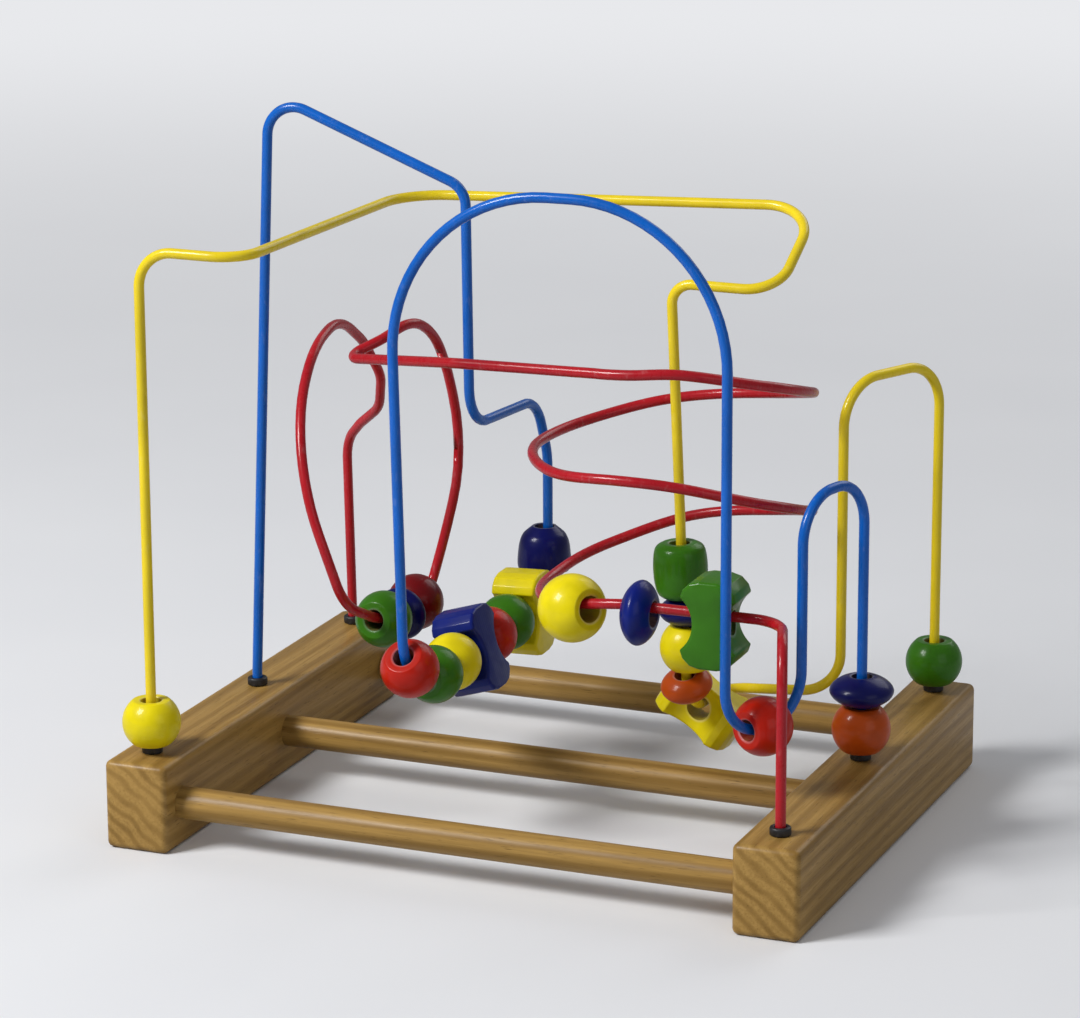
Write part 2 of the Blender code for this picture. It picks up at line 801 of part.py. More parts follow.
pivots["disc_orange_post"] = (bend_centre, bend_axis)
pivots["block_yellow_post"] = (bend_centre, bend_axis)
ball_shape = ball_outline(ball_diameter, ball_length, bore_clearance)
disc_shape = disc_outline(ball_diameter, post_disc_length, bore_clearance)
barrel_shape = shaped_outline(barrel_shares, barrel_diameter, barrel_length, bore_clearance)
spot = post_start
for name, outline, size, colour, drop in (
    ("ball_yellow_post", ball_shape, ball_length, "yellow", Vector((1, 0, 0))),
    ("disc_navy_post", disc_shape, post_disc_length, "navy", Vector((1, 0, 0))),
    ("barrel_green_post", barrel_shape, barrel_length, "green", Vector((0, -1, 0))),
):
    spot -= size / 2
    seat(add_turned(name, outline, colour), yellow, spot, size, bore_clearance, behind=post_play, drop=drop)
    spot -= size / 2 + seat_gap

# Beads that stand on the caps of three feet, and the one in the blue wire's low bend
cap_top = board_height + seat_gap + cap_height
stand_height = cap_top + seat_gap
for name, route, x, y in (
    ("ball_yellow_foot", yellow, -foot_x, -foot_y),
    ("ball_green_foot", yellow, foot_x, foot_y),
    ("ball_orange_foot", blue, foot_x, 0),
):
    colour = name.split("_")[1]
    spot = route.nearest(Vector((x, y, stand_height + ball_length / 2)))
    seat(ball(name, colour), route, spot, ball_length, bore_clearance)
upper = stand_height + ball_length + seat_gap + disc_length / 2
made = add_turned("disc_navy_foot", disc_outline(disc_diameter, disc_length, bore_clearance), "navy")
seat(made, blue, blue.nearest(Vector((foot_x, 0, upper))), disc_length, bore_clearance)

u_spot = (blue.end_of(blue_leg_bend) + blue.start_of(blue_leg_bend + 1)) / 2
seat(ball("ball_red_low_bend", "red"), blue, u_spot, ball_length, bore_clearance, spare=wire_radius / 3)
u_centre, u_axis = circle_through(blue.at(u_spot - ball_length), blue.at(u_spot),
                                  blue.at(u_spot + ball_length))
turn_about("low_bend_pivot", [bpy.data.objects["ball_red_low_bend"]], u_centre)
pivots["ball_red_low_bend"] = (u_centre, u_axis)

# Black caps round the wires' feet
for name, x, y in (
    ("cap_blue_left", -foot_x, 0),
    ("cap_blue_right", foot_x, 0),
    ("cap_red_left", -foot_x, foot_y),
    ("cap_red_right", foot_x, -foot_y),
    ("cap_yellow_left", -foot_x, -foot_y),
    ("cap_yellow_right", foot_x, foot_y),
):
    inner = wire_radius + seat_gap * 1.5
    outer = cap_diameter / 2
    slope = cap_height / 4
    rim = [(outer - slope, cap_height), (outer, cap_height - slope), (outer, 0)]
    cap = add_turned(name, rim + [(inner, 0), (inner, cap_height)], "cap")
    cap.location = (x, y, board_height + seat_gap)
bpy.context.view_layer.update()
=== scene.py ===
"""Looks of the wooden bead maze: finer wires, beads, caps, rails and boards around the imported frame."""
import math

import bmesh
import bpy
import numpy as np
from mathutils import Matrix, Vector


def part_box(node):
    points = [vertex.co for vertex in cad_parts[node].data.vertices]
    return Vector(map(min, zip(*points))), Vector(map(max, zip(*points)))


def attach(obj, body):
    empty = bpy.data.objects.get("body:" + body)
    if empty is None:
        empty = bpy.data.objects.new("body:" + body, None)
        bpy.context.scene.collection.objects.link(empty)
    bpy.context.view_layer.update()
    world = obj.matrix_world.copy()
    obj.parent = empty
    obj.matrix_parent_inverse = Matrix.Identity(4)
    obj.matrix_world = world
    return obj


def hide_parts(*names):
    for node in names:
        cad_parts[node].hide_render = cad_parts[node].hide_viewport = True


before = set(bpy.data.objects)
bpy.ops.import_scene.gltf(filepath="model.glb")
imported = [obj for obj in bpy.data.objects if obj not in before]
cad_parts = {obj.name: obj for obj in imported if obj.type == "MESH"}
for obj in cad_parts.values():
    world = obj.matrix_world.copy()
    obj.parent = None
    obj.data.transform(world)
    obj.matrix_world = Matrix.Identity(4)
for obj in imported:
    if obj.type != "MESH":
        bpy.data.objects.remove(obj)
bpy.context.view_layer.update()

# Base of two boards and three rails
base_length = 0.280
board_depth = 0.216
board_height = 0.035
board_edge_radius = 0.0026
rail_diameter = 0.0125
rail_edge = 0.0004

# Wires and the caps round their feet
maze_height = 0.276
wire_diameter = 0.004
wire_bend = 0.020
foot_inset = 0.0128
foot_end_inset = 0.016
foot_straight = 0.006
wire_hole_depth = 0.011
seat_gap = 0.0003
cap_diameter = 0.008
cap_height = 0.003
cap_round = 0.0008

# Painted beads
ball_diameter = 0.0225
ball_length = 0.0175
large_ball_diameter = 0.026
large_ball_length = 0.021
disc_diameter = 0.025
disc_length = 0.012
post_disc_length = 0.011
low_disc_diameter = 0.0215
low_disc_length = 0.0105
flat_ball_diameter = 0.021
flat_ball_length = 0.011
barrel_diameter = 0.021
barrel_length = 0.0215
bell_diameter = 0.0218
bell_length = 0.0182
bore_diameter = 0.008
block_bore_diameter = 0.0095
large_bore_diameter = 0.010
mouth_round = 0.0007
face_round = 0.0016
block_span = 0.0335
block_length = 0.022
block_waist = 0.0125
block_thickness = 0.0185
block_edge_radius = 0.0013
block_corner_radius = 0.0075
facet_round = 0.0011
lip_round = facet_round * 1.5
lobe_share = 0.60
# Faces this near to a bore's radius are its wall, and points this near to each other are one
bore_margin = mouth_round / 10
weld_distance = mouth_round / 50

# A smooth lens is as large as the solid's one of few sides, and a power over 1 draws its rim to an edge
lens_share = 0.984
lens_rim = 1.15
flat_ball_share = 0.964
flat_ball_rim = 1.10

# Rows that the blue and red wires keep level
row_height = 0.0670
row_dip = 0.0021
row_front_bend = 0.0215
row_back_bend = 0.010
row_back = 0.0693
strand_lean = 0.0081
low_row_height = 0.071
low_row_back = 0.0350
arm_height = 0.105
post_bend = 0.020
post_bend_height = 0.044
spiral_radius = 0.053

half_length = base_length / 2
half_depth = board_depth / 2
foot_x = half_length - foot_inset
foot_y = half_depth - foot_end_inset
foot_bottom = board_height - wire_hole_depth + seat_gap
wire_hole_radius = wire_diameter / 2 + seat_gap

# How finely curves are divided, and the angle over which an edge is drawn sharp
wire_step = math.radians(5)
wire_bevel_steps = 5
spiral_step = 3
turned_steps = 72
hole_steps = 40
side_steps = 28
lobe_steps = 24
corner_steps = 3
round_steps = 4
facet_steps = 3
smooth_steps = 5
block_edge_steps = 3
board_edge_steps = 5
turned_crease = math.radians(50)
block_crease = math.radians(28)
rail_crease = math.radians(40)
board_crease = math.radians(35)

# Turns below these are left as corners, in a wire and in an outline
wire_turn_limit = wire_step / 6
outline_turn_limit = wire_step / 3

# Share of a run between two corners that each corner's bend may take
bend_room_share = 0.499
outline_room_share = 0.45

# A bead takes the Y axis for its side where its wire runs nearer to the X axis than this
side_limit = 0.7

# Wire corners: shares of half the length, half the depth and the maze's height, then of the usual bend
blue_kink_shares = [
    (-0.836, 0.000, 1.000, 0.60),
    (-0.246, 0.000, 0.884, 0.50),
    (-0.239, 0.000, 0.545, 0.80),
]
blue_strand_shares = (-0.221, 0.534)
blue_row_share = -0.210
blue_front_share = -0.683
blue_arch_shares = [
    (-0.243, -0.680, 0.935, 3.10),
    (0.705, -0.676, 0.940, 3.00),
    (0.705, -0.676, 0.225, 0.90),
    (0.829, -0.352, 0.225, 0.90),
    (0.829, -0.352, 0.529, 0.90),
]
blue_over_share = 0.529
strand_share = 2.8
strand_bend_share = 0.8
red_loop_shares = [
    (-0.921, 0.852, 0.413, 1.00),
    (-0.850, 0.778, 0.449, 1.00),
    (-0.757, 0.694, 0.486, 1.00),
    (-0.721, 0.611, 0.543, 1.00),
    (-0.743, 0.519, 0.602, 1.00),
    (-0.743, 0.306, 0.655, 8.00),
    (-0.721, 0.028, 0.637, 8.00),
    (-0.693, -0.167, 0.580, 8.00),
    (-0.650, -0.296, 0.516, 8.00),
    (-0.600, -0.361, 0.442, 8.00),
    (-0.543, -0.370, 0.370, 8.00),
    (-0.509, -0.338, 0.304, 1.00),
]
red_row_share = -0.477
red_row_front_share = -0.093
red_hairpin_shares = [
    (-0.450, 0.394, 0.337, 8.00),
    (-0.407, 0.398, 0.428, 8.00),
    (-0.399, 0.375, 0.511, 8.00),
    (-0.406, 0.296, 0.598, 8.00),
    (-0.414, 0.204, 0.656, 8.00),
    (-0.426, 0.046, 0.687, 8.00),
    (-0.464, -0.102, 0.670, 1.00),
    (-0.539, -0.222, 0.650, 0.30),
    (-0.143, -0.444, 0.680, 3.00),
]
spiral_centre_shares = (0.379, -0.065)
# Angle round the spiral in degrees, and the wire's height there as a share of the maze's height
spiral_height_shares = [
    (-102, 0.694), (-90, 0.696), (-66, 0.699), (-30, 0.674), (10, 0.638), (60, 0.598), (112, 0.572),
    (143, 0.554), (170, 0.546), (202, 0.545), (234, 0.543), (269, 0.551), (294, 0.544), (330, 0.511),
    (370, 0.471), (420, 0.429), (461, 0.403), (493, 0.371), (515, 0.355), (534, 0.346), (562, 0.348),
    (596, 0.363),
]
# Angle round the spiral, and its radius there as a share of the spiral's
spiral_inset_shares = [(500, 1.0), (530, 0.965), (550, 0.95), (570, 0.955), (590, 0.985), (604, 1.0)]
spiral_end = 630
table_margin = 30
red_end_share = 0.829
yellow_top_shares = [
    (-0.909, -0.852, 0.837, 0.70),
    (-0.607, -0.852, 0.837, 0.70),
    (-0.557, 0.389, 0.837, 1.00),
    (0.657, 0.417, 0.862, 1.00),
    (0.657, 0.000, 0.775, 0.70),
    (0.354, 0.000, 0.775, 0.40),
]
post_foot_share = 0.407
yellow_end_shares = [
    (0.407, 0.352, 0.160, 0.60),
    (0.743, 0.407, 0.167, 0.80),
    (0.743, 0.407, 0.616, 0.90),
    (0.909, 0.852, 0.616, 0.90),
]
high_bend_share = 0.9
arm_bend_share = 0.8
low_front_bend_share = 2.0
low_back_bend_share = 0.5

# Turned outlines: shares of the radius, and of the length from the lower face up
bell_shares = [
    (0.45, 1.00), (0.65, 0.90), (0.80, 0.81), (0.90, 0.68), (0.96, 0.50), (1.00, 0.22), (0.985, 0.08),
    (0.92, 0.00),
]
barrel_shares = [
    (0.64, 1.00), (0.87, 0.93), (0.97, 0.78), (1.00, 0.50), (0.96, 0.25), (0.86, 0.08), (0.66, 0.00),
]

# Depths of the fine relief on each surface, and how far round a bore the paint is paler, as wear and as a
# painted highlight
turning_relief = 0.00012
grain_relief = 0.00010
speck_relief = 0.00006
bore_relief = 0.00010
peel_relief = 0.00008
fibre_relief = 0.00014
pore_relief = 0.00014
plastic_relief = 0.00006
rim_wear_and_highlight_width = 0.0012

# Each piece moves its pattern on by these steps; a wood's rings have their middle below it
pattern_steps = (0.113, 0.071, 0.193)
ring_step = 0.037
ring_slide = 0.010
ring_middle = 0.055
rail_seed_step = 1.7
board_seed_step = 1.3

# The Mix node's two colour sockets and its colour result
mix_first, mix_second, mix_result = 6, 7, 2

# Floor, which fades into the backdrop between two distances from the toy
floor_size = 9.0
floor_near = 0.45
floor_far = 2.0
sky_strength = 0.26

# Name, place, size, power and colour of each lamp
lamps = [
    ("key", (-1.1, -1.2, 1.5), 0.7, 42, (1, 1, 1)),
    ("fill", (1.6, -1.0, 0.8), 1.2, 3, (0.95, 0.97, 1.0)),
    ("back", (0.5, 1.6, 1.3), 1.2, 7, (1, 1, 1)),
]

# Camera, with its lens and sensor in millimetres and its angles in degrees
camera_place = (0.6192, -1.5110, 0.5702)
camera_azimuth = 22.421
camera_elevation = 15.387
camera_roll = -0.252
camera_lens = 146.35
camera_sensor = 36


def tone(red, green, blue):
    """A colour as it looks, from 0 to 255, as the shader wants it."""
    out = []
    for value in (red, green, blue):
        value /= 255
        out.append(value / 12.92 if value <= 0.04045 else ((value + 0.055) / 1.055) ** 2.4)
    return (*out, 1.0)


def scaled(colour, share):
    """The colour made darker or lighter by a share."""
    return (*[min(1.0, part * share) for part in colour[:3]], 1.0)


def paler(colour, share):
    """The colour moved towards white by a share."""
    return (*[part + (1 - part) * share for part in colour[:3]], 1.0)


paints = {
    "green": tone(54, 114, 12),
    "yellow": tone(234, 215, 10),
    "red": tone(186, 28, 8),
    "dark_red": tone(112, 5, 11),
    "orange": tone(192, 76, 12),
    "blue": tone(4, 26, 112),
    "navy": tone(3, 8, 84),
}
wire_paints = {"blue": tone(4, 95, 190), "red": tone(176, 20, 32), "yellow": tone(238, 210, 30)}
light_wood = tone(178, 141, 76)
dark_wood = tone(129, 96, 42)
backdrop = tone(232, 233, 236)


class Surface:
    """A material and the few steps that its node graph is built from."""

    def __init__(self, name):
        self.material = bpy.data.materials.new(name)
        self.material.use_nodes = True
        self.tree = self.material.node_tree
        self.shader = self.tree.nodes["Principled BSDF"]

    def add(self, kind, **settings):
        """A new node with its settings."""
        node = self.tree.nodes.new(kind)
        for key, value in settings.items():
            setattr(node, key, value)
        return node

    def plug(self, source, target):
        """Link a node's output to a socket, or give the socket a plain value."""
        if isinstance(source, bpy.types.NodeSocket):
            self.tree.links.new(source, target)
        else:
            target.default_value = source

    def place(self, scale=(1, 1, 1), shift=(0, 0, 0)):
        """Object coordinates, stretched and shifted."""
        coordinates = self.add("ShaderNodeTexCoord")
        mapping = self.add("ShaderNodeMapping")
        mapping.inputs["Scale"].default_value = scale
        mapping.inputs["Location"].default_value = shift
        self.plug(coordinates.outputs["Object"], mapping.inputs["Vector"])
        return mapping.outputs["Vector"]

    def noise(self, vector, scale, detail=2.0, roughness=0.5):
        node = self.add("ShaderNodeTexNoise")
        node.inputs["Scale"].default_value = scale
        node.inputs["Detail"].default_value = detail
        node.inputs["Roughness"].default_value = roughness
        self.plug(vector, node.inputs["Vector"])
        return node.outputs["Fac"]

    def wave(self, vector, scale, distortion, detail_scale=1.0, detail_roughness=0.5, **settings):
        node = self.add("ShaderNodeTexWave", **settings)
        node.inputs["Scale"].default_value = scale
        node.inputs["Distortion"].default_value = distortion
        node.inputs["Detail"].default_value = 1.0
        node.inputs["Detail Scale"].default_value = detail_scale
        node.inputs["Detail Roughness"].default_value = detail_roughness
        self.plug(vector, node.inputs["Vector"])
        return node.outputs["Fac"]

    def spread(self, value, low, high, new_low=0.0, new_high=1.0, smooth=False):
        """Map a range of values to another, which is also where they stop."""
        node = self.add("ShaderNodeMapRange")
        node.interpolation_type = "SMOOTHSTEP" if smooth else "LINEAR"
        self.plug(value, node.inputs["Value"])
        node.inputs["From Min"].default_value = low
        node.inputs["From Max"].default_value = high
        node.inputs["To Min"].default_value = new_low
        node.inputs["To Max"].default_value = new_high
        return node.outputs["Result"]

    def multiply(self, first, second):
        node = self.add("ShaderNodeMath", operation="MULTIPLY")
        self.plug(first, node.inputs[0])
        self.plug(second, node.inputs[1])
        return node.outputs[0]

    def blend(self, share, first, second):
        """Go from one colour to another as the share goes from 0 to 1."""
        node = self.add("ShaderNodeMix", data_type="RGBA")
        self.plug(share, node.inputs["Factor"])
        self.plug(first, node.inputs[mix_first])
        self.plug(second, node.inputs[mix_second])
        return node.outputs[mix_result]

    def bump(self, height, strength, relief, below=None):
        node = self.add("ShaderNodeBump")
        node.inputs["Strength"].default_value = strength
        node.inputs["Distance"].default_value = relief
        self.plug(height, node.inputs["Height"])
        if below is not None:
            self.plug(below, node.inputs["Normal"])
        return node.outputs["Normal"]

    def from_axis(self, vector):
        """Distance from the piece's own Z axis."""
        flat = self.add("ShaderNodeVectorMath", operation="MULTIPLY")
        flat.inputs[1].default_value = (1, 1, 0)
        self.plug(vector, flat.inputs[0])
        length = self.add("ShaderNodeVectorMath", operation="LENGTH")
        self.plug(flat.outputs["Vector"], length.inputs[0])
        return length.outputs["Value"]

    def finish(self, colour, roughness, normal, coat=0.0, coat_roughness=0.03, specular=0.5):
        """Give the shader its inputs, and hand over the material."""
        self.plug(colour, self.shader.inputs["Base Color"])
        self.plug(roughness, self.shader.inputs["Roughness"])
        self.plug(normal, self.shader.inputs["Normal"])
        self.shader.inputs["Coat Weight"].default_value = coat
        self.shader.inputs["Coat Roughness"].default_value = coat_roughness
        self.shader.inputs["Specular IOR Level"].default_value = specular
        return self.material


def painted(name, colour, seed, bore):
    """Thick gloss paint on turned wood: the grain shows a little, and the paint is paler at the bore's mouth,
    partly as thinner paint and partly as a painted highlight on the rim.
    """
    surface = Surface(name)
    shift = [seed * step for step in pattern_steps]
    grain = surface.noise(surface.place((1, 1, 0.12), shift), 900, detail=3.0, roughness=0.6)
    cloud = surface.noise(surface.place(shift=shift), 90)
    patches = surface.noise(surface.place(shift=shift), 260)
    speck = surface.noise(surface.place(shift=shift), 1500, detail=1.0)
    here = surface.place()
    # Paler paint round the bore's mouth: partly worn paint, partly a painted highlight where the rim would
    # catch the light
    rim = surface.spread(surface.from_axis(here), bore / 2, bore / 2 + rim_wear_and_highlight_width, 1.0, 0.0, smooth=True)
    worn_and_highlit = surface.multiply(rim, surface.spread(cloud, 0.30, 0.62, 0.15, 0.75))
    base = surface.blend(surface.spread(cloud, 0.30, 0.70), scaled(colour, 0.86), scaled(colour, 1.10))
    base = surface.blend(surface.spread(grain, 0.62, 0.80, 0.0, 0.16), base, scaled(colour, 0.72))
    base = surface.blend(worn_and_highlit, base, paler(colour, 0.28))
    rough = surface.spread(patches, 0.3, 0.7, 0.30, 0.46)
    turning = surface.wave(here, 190, distortion=1.2, wave_type="BANDS", bands_direction="Z")
    normal = surface.bump(turning, 0.10, turning_relief)
    normal = surface.bump(grain, 0.16, grain_relief, normal)
    normal = surface.bump(speck, 0.06, speck_relief, normal)
    return surface.finish(base, rough, normal, coat=0.26, coat_roughness=0.13, specular=0.14)


def bore_wood(name, colour, seed):
    """Inside of a bore: bare wood with some of the bead's paint run into it, that paint darkened as painted
    shade in the bore.
    """
    surface = Surface(name)
    fibre = surface.noise(surface.place((1, 1, 0.1), (seed * 0.3, 0, 0)), 1400, detail=3.0, roughness=0.6)
    shaded_paint_runs = surface.noise(surface.place((1, 1, 0.5), (0, seed * 0.2, 0)), 320)
    wood = surface.blend(surface.spread(fibre, 0.35, 0.65), tone(126, 92, 52), tone(178, 140, 92))
    # Paint in the bore is the bead's colour darkened: painted shade in the recess
    base = surface.blend(surface.spread(shaded_paint_runs, 0.38, 0.58, 0.55, 0.95), wood, scaled(colour, 0.62))
    return surface.finish(base, 0.62, surface.bump(fibre, 0.3, bore_relief))


def enamelled(name, colour, seed):
    """Powder-coated steel wire, with a fine orange peel and dull streaks where beads rub."""
    surface = Surface(name)
    shift = (seed, seed * 0.5, seed * 0.25)
    peel = surface.noise(surface.place(shift=shift), 1100)
    cloud = surface.noise(surface.place(shift=shift), 38)
    rub = surface.noise(surface.place((1, 1, 0.35), shift), 420, detail=3.0, roughness=0.6)
    base = surface.blend(surface.spread(cloud, 0.3, 0.7), scaled(colour, 0.88), scaled(colour, 1.10))
    base = surface.blend(surface.spread(rub, 0.60, 0.74, 0.0, 0.20), base, paler(colour, 0.22))
    rough = surface.spread(rub, 0.35, 0.70, 0.24, 0.42)
    normal = surface.bump(peel, 0.10, peel_relief)
    return surface.finish(base, rough, normal, coat=0.34, coat_roughness=0.10, specular=0.20)


def lacquered(name, along, seed):
    """Clear-lacquered wood with growth rings, fibres and pores that run along one axis."""
    surface = Surface(name)

    def drawn_out(share, shift):
        """Object coordinates in which a pattern is drawn out along the grain."""
        stretch = [1, 1, 1]
        stretch[along] = share
        return surface.place(stretch, shift)

    ring_shift = [seed * ring_step] * 3
    ring_shift[2] += ring_middle
    ring_shift[along] = seed * ring_slide
    rings = surface.wave(drawn_out(0.06, ring_shift), 64, distortion=3.4, detail_scale=1.4,
                         detail_roughness=0.40, wave_type="RINGS", rings_direction="XYZ"[along])
    fibre = surface.noise(drawn_out(0.035, (seed, seed, seed)), 950, detail=4.0, roughness=0.65)
    pores = surface.noise(drawn_out(0.07, (seed * 2, seed, seed)), 2100)
    cloud = surface.noise(drawn_out(0.06, (seed * 3, seed, 0)), 60, detail=3.0)
    base = surface.blend(surface.spread(rings, 0.25, 0.95, 0.0, 0.75), light_wood, dark_wood)
    base = surface.blend(surface.spread(fibre, 0.30, 0.72, 0.0, 0.55), base, scaled(dark_wood, 0.86))
    base = surface.blend(surface.spread(cloud, 0.35, 0.70, 0.0, 0.45), base, scaled(light_wood, 1.08))
    base = surface.blend(surface.spread(pores, 0.63, 0.72, 0.0, 0.60), base, scaled(dark_wood, 0.52))
    rough = surface.spread(fibre, 0.3, 0.7, 0.34, 0.50)
    normal = surface.bump(fibre, 0.18, fibre_relief)
    normal = surface.bump(surface.spread(pores, 0.60, 0.72, 1.0, 0.0), 0.22, pore_relief, normal)
    return surface.finish(base, rough, normal, coat=0.14, coat_roughness=0.26, specular=0.20)


def soft_black(name):
    """Soft black plastic with a fine moulded grain."""
    surface = Surface(name)
    grain = surface.noise(surface.place(), 2600)
    scuff = surface.noise(surface.place(), 420, detail=3.0)
    base = surface.blend(surface.spread(scuff, 0.4, 0.7), tone(20, 20, 22), tone(44, 44, 47))
    rough = surface.spread(scuff, 0.3, 0.7, 0.38, 0.55)
    return surface.finish(base, rough, surface.bump(grain, 0.15, plastic_relief))


def bend(place, before, after, reach, steps):
    """Points on the arc that rounds a corner and meets its two sides at a reach from it."""
    turn = math.pi - before.angle(after)
    radius = reach / math.tan(turn / 2)
    inward = (before.normalized() + after.normalized()).normalized()
    centre = place + inward * radius / math.cos(turn / 2)
    outward = (place + before.normalized() * reach - centre).normalized()
    ahead = -before.normalized()
    angles = [turn * i / steps for i in range(steps + 1)]
    return [centre + (outward * math.cos(angle) + ahead * math.sin(angle)) * radius for angle in angles]


class Route:
    """A wire's centre line: straight runs between corners, each corner rounded with its bend radius."""

    def __init__(self, corners):
        self.points = [corners[0][0].copy()]
        last = len(corners) - 1
        for k in range(1, last):
            place, radius = corners[k]
            before = corners[k - 1][0] - place
            after = corners[k + 1][0] - place
            turn = math.pi - before.angle(after)
            if radius == 0 or turn < wire_turn_limit:
                self.points.append(place.copy())
                continue
            # No other bend needs room on the wire's first and last runs
            room_before = (2 if k == 1 else 1) * bend_room_share * before.length
            room_after = (2 if k == last - 1 else 1) * bend_room_share * after.length
            reach = min(radius * math.tan(turn / 2), room_before, room_after)
            self.points += bend(place, before, after, reach, max(1, math.ceil(turn / wire_step)))
        self.points.append(corners[last][0].copy())
        self.reach = [0.0]
        for a, b in zip(self.points, self.points[1:]):
            self.reach.append(self.reach[-1] + (b - a).length)

    def at(self, distance):
        """The point at a distance along the wire."""
        for k in range(1, len(self.points)):
            if distance <= self.reach[k] or k == len(self.points) - 1:
                share = (distance - self.reach[k - 1]) / (self.reach[k] - self.reach[k - 1])
                return self.points[k - 1].lerp(self.points[k], share)

    def nearest(self, place):
        """Distance along the wire of its point nearest to a place."""
        best = None
        for k in range(1, len(self.points)):
            a, b = self.points[k - 1], self.points[k]
            share = min(1, max(0, (place - a).dot(b - a) / (b - a).length_squared))
            gap = (a.lerp(b, share) - place).length
            if best is None or gap < best[0]:
                best = (gap, self.reach[k - 1] + share * (b - a).length)
        return best[1]


def corner(x_share, y_share, z_share, bend_share):
    """A wire's corner and its bend radius, from shares of the toy's sizes."""
    place = Vector((x_share * half_length, y_share * half_depth, z_share * maze_height))
    return (place, bend_share * wire_bend)


def table(shares):
    """A table of shares as corners."""
    return [corner(*row) for row in shares]


def read_smoothly(rows, angle):
    """Value at an angle, on a smooth curve through a table's rows that is level beyond its ends."""
    first, last = rows[0], rows[-1]
    rows = [(first[0] - table_margin, first[1])] + rows + [(last[0] + table_margin, last[1])]
    for (a0, h0), (a1, h1), (a2, h2), (a3, h3) in zip(rows, rows[1:], rows[2:], rows[3:]):
        if a1 <= angle <= a2:
            t = (angle - a1) / (a2 - a1)
            m1 = (h2 - h0) / (a2 - a0) * (a2 - a1)
            m2 = (h3 - h1) / (a3 - a1) * (a2 - a1)
            return ((2 * t ** 3 - 3 * t ** 2 + 1) * h1 + (t ** 3 - 2 * t ** 2 + t) * m1
                    + (3 * t ** 2 - 2 * t ** 3) * h2 + (t ** 3 - t ** 2) * m2)
    return first[1] if angle < first[0] else last[1]


spiral_middle = Vector((spiral_centre_shares[0] * half_length, spiral_centre_shares[1] * half_depth, 0))
spiral_heights = [(a, z * maze_height) for a, z in spiral_height_shares] + [(spiral_end, arm_height)]


def on_spiral(angle):
    """Point of the red wire at an angle round the spiral."""
    turn = math.radians(angle)
    radius = spiral_radius * read_smoothly(spiral_inset_shares, angle)
    out = Vector((math.cos(turn), math.sin(turn), 0)) * radius
    return spiral_middle + out + Vector((0, 0, read_smoothly(spiral_heights, angle)))


# The three wires' routes
row_x = blue_row_share * half_length
row_front = blue_front_share * half_depth
strand_x = blue_strand_shares[0] * half_length
low_row_x = red_row_share * half_length
low_row_front = red_row_front_share * half_depth
arm_y = spiral_middle.y - spiral_radius
blue = Route(
    [
        (Vector((-foot_x, 0, foot_bottom)), 0),
        (Vector((-foot_x, 0, board_height + foot_straight)), wire_bend),
    ]
    + table(blue_kink_shares)
    + [
        (Vector((strand_x, row_back - strand_lean, blue_strand_shares[1] * maze_height)),
         wire_bend * strand_bend_share),
        (Vector((row_x, row_back, row_height + wire_bend * strand_share)),
         wire_bend * strand_bend_share * 2),
        (Vector((row_x, row_back, row_height)), row_back_bend),
        (Vector((row_x, row_front, row_height - row_dip)), row_front_bend),
    ]
    + table(blue_arch_shares)
    + [
        (Vector((foot_x, 0, blue_over_share * maze_height)), wire_bend * high_bend_share),
        (Vector((foot_x, 0, foot_bottom)), 0),
    ]
)
red = Route(
    [(Vector((-foot_x, foot_y, foot_bottom)), 0)]
    + table(red_loop_shares)
    + [
        (Vector((low_row_x, low_row_front, low_row_height)), wire_bend * low_front_bend_share),
        (Vector((low_row_x, low_row_back, low_row_height)), wire_bend * low_back_bend_share),
    ]
    + table(red_hairpin_shares)
    + [(on_spiral(angle), 0) for angle in range(spiral_heights[0][0], spiral_end + 1, spiral_step)]
    + [
        (Vector((red_end_share * half_length, arm_y, arm_height)), wire_bend * arm_bend_share),
        (Vector((foot_x, -foot_y, arm_height)), wire_bend * arm_bend_share),
        (Vector((foot_x, -foot_y, foot_bottom)), 0),
    ]
)
yellow = Route(
    [(Vector((-foot_x, -foot_y, foot_bottom)), 0)]
    + table(yellow_top_shares)
    + [(Vector((post_foot_share * half_length, 0, post_bend_height)), post_bend)]
    + table(yellow_end_shares)
    + [(Vector((foot_x, foot_y, foot_bottom)), 0)]
)


def put(name, data):
    """A new object of the scene."""
    obj = bpy.data.objects.new(name, data)
    bpy.context.scene.collection.objects.link(obj)
    return obj


def piece(node, data, place, body):
    """The finer piece that lies in a CAD node's place, moves with a body and hides the node."""
    obj = put(node + "_piece", data)
    obj.matrix_world = place
    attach(obj, body)
    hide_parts(node)


def mesh_of(shape, name):
    """A mesh made from a shape, which is then freed."""
    mesh = bpy.data.meshes.new(name)
    shape.to_mesh(mesh)
    shape.free()
    return mesh


def rounded(points, radii, steps=round_steps):
    """A closed outline with each corner rounded by its own radius."""
    out = []
    count = len(points)
    for k in range(count):
        place = Vector(points[k])
        before = Vector(points[k - 1]) - place
        after = Vector(points[(k + 1) % count]) - place
        turn = math.pi - before.angle(after)
        if radii[k] == 0 or turn < outline_turn_limit:
            out.append(tuple(points[k]))
            continue
        reach = min(radii[k] * math.tan(turn / 2), before.length * outline_room_share,
                    after.length * outline_room_share)
        out += [tuple(spot) for spot in bend(place, before, after, reach, steps)]
    return out


def smooth_line(points):
    """Points on a smooth curve through a few chosen ones."""
    rows = [points[0]] + list(points) + [points[-1]]
    out = []
    for k in range(1, len(rows) - 2):
        a, b, c, d = (Vector(p) for p in rows[k - 1:k + 3])
        for i in range(smooth_steps):
            t = i / smooth_steps
            spot = 0.5 * (2 * b + (c - a) * t + (2 * a - 5 * b + 4 * c - d) * t * t
                          + (3 * b - a - 3 * c + d) * t ** 3)
            out.append((spot.x, spot.y))
    out.append(tuple(points[-1]))
    return out


